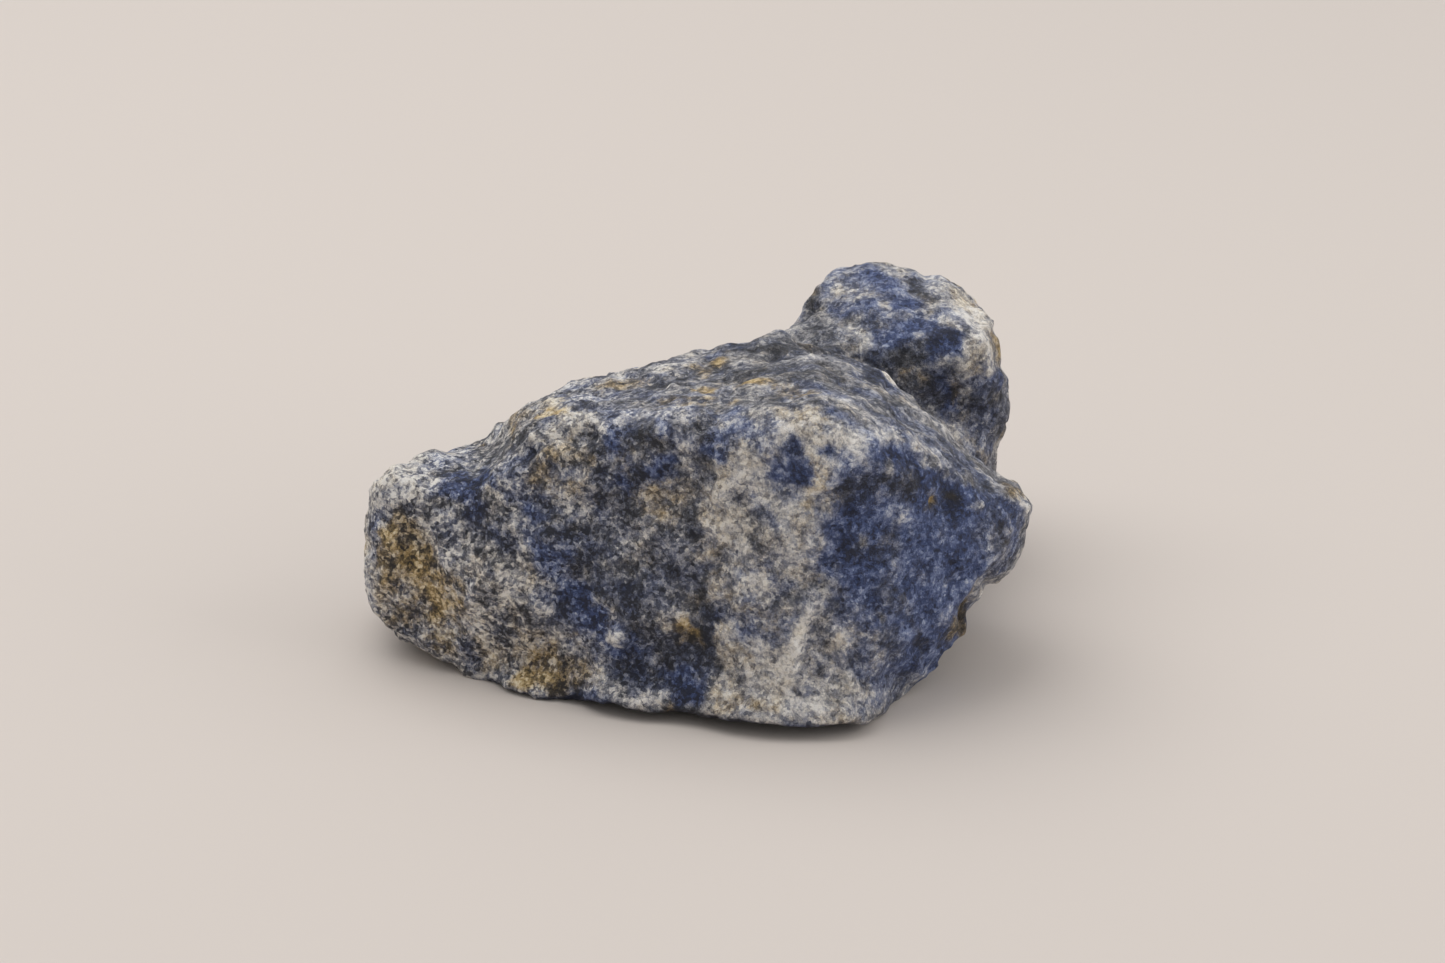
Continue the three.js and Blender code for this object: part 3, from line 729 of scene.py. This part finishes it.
def near_front(points, front):
    """1 close to the lower edge in front, down to 0 away from it."""
    return 1 - ease_between(*WIDE_GAP_FADE, distance_to_path(points, front))


def lift_edge(points, normals, inward, front):
    """The points with the lower edge lifted off the floor and flared out a little."""
    gap = np.maximum(GAP_CHANGE * noise(points * (1, 1, 0), GAP_CHANGE_SIZE, seed=50), 0)
    gap += WIDE_GAP * near_front(points, front)
    gap *= (1 - ease_between(0, GAP_REACH, inward)) * (1 - ease_between(0, GAP_HEIGHT, points[:, 2]))
    sideways = normals * (1, 1, 0)
    sideways /= np.maximum(np.linalg.norm(sideways, axis=1), FULL_FLARE_SLOPE)[:, None]
    moved = points + FLARE * gap[:, None] * sideways
    moved[:, 2] += gap
    return moved


def paint(points, patches):
    """Paleness, blue and rust for each point."""
    pale = GROUND_PALE + layered(points, PALE_CHANGES, seed=30)
    blue = GROUND_BLUE * ease_between(*BLUE_ONSET, layered(points, BLUE_CHANGES, seed=32))
    rust = GROUND_RUST * ease_between(*RUST_ONSET, layered(points, RUST_CHANGES, seed=34))
    layers = np.stack([pale, blue, rust], axis=1)
    loose = warped(points, PATCH_WARP)
    ragged = layered(points, RAGGED_CHANGES, seed=36)
    for kind, half_width, path in patches:
        edge = PATCH_EDGE * half_width + LEAST_EDGE
        away = distance_to_path(loose, path) + (PATCH_RAGGED * half_width + LEAST_RAGGED) * ragged
        cover = 1 - ease_between(half_width - edge, half_width + edge, away)
        cover = PATCH_STRENGTH * cover[:, None]
        layers = layers * (1 - cover) + np.array(kind) * cover
    return layers


def hidden_patches(points, normals, camera):
    """Patches like the visible ones, strewn over what faces away from the camera."""
    away = np.sum((np.array(camera.location) / MM - points) * normals, axis=1) < 0
    places = points[away]
    shares = np.array([share for _, share in HIDDEN_SHARES], float)
    patches = []
    for _ in range(HIDDEN_PATCHES):
        kind = HIDDEN_SHARES[random.choice(len(shares), p=shares / shares.sum())][0]
        start = places[random.integers(len(places))]
        step = random.normal(size=3)
        length = random.uniform(*HIDDEN_LENGTHS)
        end = start + length * step / np.linalg.norm(step)
        half_width = HIDDEN_HALF_WIDTH + random.exponential(HIDDEN_WIDENING)
        patches.append((kind, half_width, [start, end]))
    return patches


class Graph:
    """Adds shader nodes to a material or a world and joins them."""

    def __init__(self, owner):
        self.tree = owner.node_tree

    def add(self, kind, inputs=None, **settings):
        node = self.tree.nodes.new("ShaderNode" + kind)
        for name, value in settings.items():
            setattr(node, name, value)
        for name, value in (inputs or {}).items():
            socket = node.inputs[name]
            if isinstance(value, bpy.types.NodeSocket):
                self.tree.links.new(value, socket)
            else:
                socket.default_value = value
        return node

    def math(self, operation, *values):
        node = self.add("Math", dict(enumerate(values)), operation=operation)
        return node.outputs[0]

    def attribute(self, name):
        return self.add("Attribute", attribute_name=name).outputs["Fac"]

    def noise(self, vector, size, detail, roughness):
        inputs = {"Vector": vector, "Scale": 1 / size, "Detail": detail, "Roughness": roughness}
        return self.add("TexNoise", inputs).outputs["Fac"]

    def change(self, vector, size, detail, roughness):
        """Noise that is as often below zero as above it."""
        return self.math("SUBTRACT", self.noise(vector, size, detail, roughness), 0.5)

    def step(self, value, low, high):
        inputs = {"Value": value, "From Min": low, "From Max": high}
        return self.add("MapRange", inputs, interpolation_type="SMOOTHSTEP").outputs["Result"]

    def ramp(self, value, stops):
        node = self.add("ValToRGB", {"Fac": value})
        elements = node.color_ramp.elements
        while len(elements) < len(stops):
            elements.new(0.5)
        for element, (place, colour) in zip(elements, stops):
            element.position = place
            element.color = (*[linear(c) for c in colour], 1)
        return node.outputs["Color"]

    def mix(self, share, first, second):
        node = self.add("Mix", data_type="RGBA")
        for socket, value in ((0, share), (6, first), (7, second)):
            self.tree.links.new(value, node.inputs[socket])
        return node.outputs[2]


def linear(value):
    """An sRGB value from 0 to 255 as the linear value that shaders use."""
    value /= 255
    return value / 12.92 if value <= 0.04045 else ((value + 0.055) / 1.055) ** 2.4


def stone_material():
    material = bpy.data.materials.new("quartz rock")
    material.use_nodes = True
    graph = Graph(material)
    shader = material.node_tree.nodes["Principled BSDF"]
    place = graph.add("TexCoord").outputs["Object"]
    millimetres = graph.add("VectorMath", {0: place, "Scale": 1 / MM}, operation="SCALE").outputs[0]
    waves = {"Vector": millimetres, "Scale": 1 / WAVE_SIZE, "Detail": WAVE_DETAIL}
    waves = graph.add("TexNoise", waves).outputs["Color"]
    shift = graph.add("VectorMath", {0: waves, "Scale": WAVE_REACH}, operation="SCALE").outputs[0]
    wavy = graph.add("VectorMath", {0: millimetres, 1: shift}, operation="ADD").outputs[0]
    tone = graph.attribute("pale")
    tone = graph.math("MULTIPLY_ADD", graph.change(millimetres, *MOTTLE), MOTTLE_AMOUNT, tone)
    contrast = graph.attribute("contrast")
    specks = graph.math("MULTIPLY", graph.change(millimetres, *SPECKS), contrast)
    tone = graph.math("MULTIPLY_ADD", specks, SPECK_AMOUNT, tone)
    for size, amount in CRYSTALS:
        cells = graph.add("TexVoronoi", {"Vector": wavy, "Scale": 1 / size})
        crystal = graph.add("SeparateColor", {"Color": cells.outputs["Color"]}).outputs[0]
        change = graph.math("MULTIPLY", graph.math("SUBTRACT", crystal, 0.5), contrast)
        tone = graph.math("MULTIPLY_ADD", change, amount, tone)
    tone = graph.math("MULTIPLY", tone, TONE_SCALE)
    hue = graph.change(millimetres, *HUES)
    blue = graph.math("MULTIPLY_ADD", hue, HUE_AMOUNT, graph.attribute("blue"))
    rust = graph.math("MULTIPLY_ADD", hue, -HUE_AMOUNT, graph.attribute("rust"))
    blue = graph.step(blue, *BLUE_RANGE)
    rust = graph.math("MULTIPLY", graph.step(rust, *RUST_RANGE), graph.math("SUBTRACT", 1, blue))
    colour = graph.mix(blue, graph.ramp(tone, GREY_TONES), graph.ramp(tone, BLUE_TONES))
    colour = graph.mix(rust, colour, graph.ramp(tone, RUST_TONES))
    material.node_tree.links.new(colour, shader.inputs["Base Color"])
    least, most = CRYSTAL_ROUGHNESS
    gloss = graph.add("MapRange", {"Value": crystal, "To Min": least, "To Max": most})
    material.node_tree.links.new(gloss.outputs["Result"], shader.inputs["Roughness"])
    grain = graph.math("ADD", graph.noise(millimetres, *BUMPS), graph.math("MULTIPLY", tone, BUMP_TONE))
    bump = graph.add("Bump", {"Height": grain, "Strength": 1.0, "Distance": BUMP_HEIGHT})
    material.node_tree.links.new(bump.outputs["Normal"], shader.inputs["Normal"])
    return material


def make_stone(camera):
    stone, inward = fine_stone(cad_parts["stone"])
    mesh = stone.data
    tree = BVHTree.FromObject(stone, bpy.context.evaluated_depsgraph_get())
    points = read_points(mesh) / MM
    normals = read_normals(mesh)
    paths = [(rise, width, cast_pixels(camera, tree, pixels)) for rise, width, pixels in RELIEF]
    for rise, half_width, place in SADDLE:
        away = distance_to_path(points, [np.array(place)])
        points[:, 2] += rise * inside(half_width, away)
    height, grain = relief(points, normals, paths)
    patches = hidden_patches(points, normals, camera)
    for kinds in PATCHES.values():
        for kind, marks in kinds.items():
            patches += [(kind, width, cast_pixels(camera, tree, pixels)) for width, *pixels in marks]
    layers = paint(points, patches)
    # Painted shade and highlight: the stone is painted paler where its grain stands up and darker in
    # its hollows
    layers[:, 0] += PAINTED_GRAIN_SHADE * grain
    front = cast_pixels(camera, tree, WIDE_GAP_PIXELS)
    # Painted shade: the underside behind the wide gap is painted darker, so that the gap under the
    # front edge reads dark
    painted_shade_share = ease_between(*UNDER_SLOPE, -normals[:, 2])
    layers[:, 0] -= PAINTED_UNDER_SHADE * painted_shade_share * near_front(points, front)
    left, right = GRAIN_CONTRAST
    contrast = left + (right - left) * ease_between(*CONTRAST_PLACES, points[:, 0])
    for name, values in zip(("pale", "blue", "rust", "contrast"), (*layers.T, contrast)):
        mesh.attributes.new(name, "FLOAT", "POINT").data.foreach_set("value", values.astype(np.float32))
    moved = lift_edge(raised(points, normals, height), normals, inward, front)
    back = [(amount, width, cast_pixels(camera, tree, pixels)) for amount, width, pixels in SET_BACK]
    moved = shifted(set_back(moved, camera, back), camera) * MM
    mesh.vertices.foreach_set("co", moved.astype(np.float32).ravel())
    mesh.update()
    mesh.materials.append(stone_material())
    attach(stone, "root")
    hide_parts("stone")


make_lamps()
make_sky()
make_floor()
make_stone(make_camera())
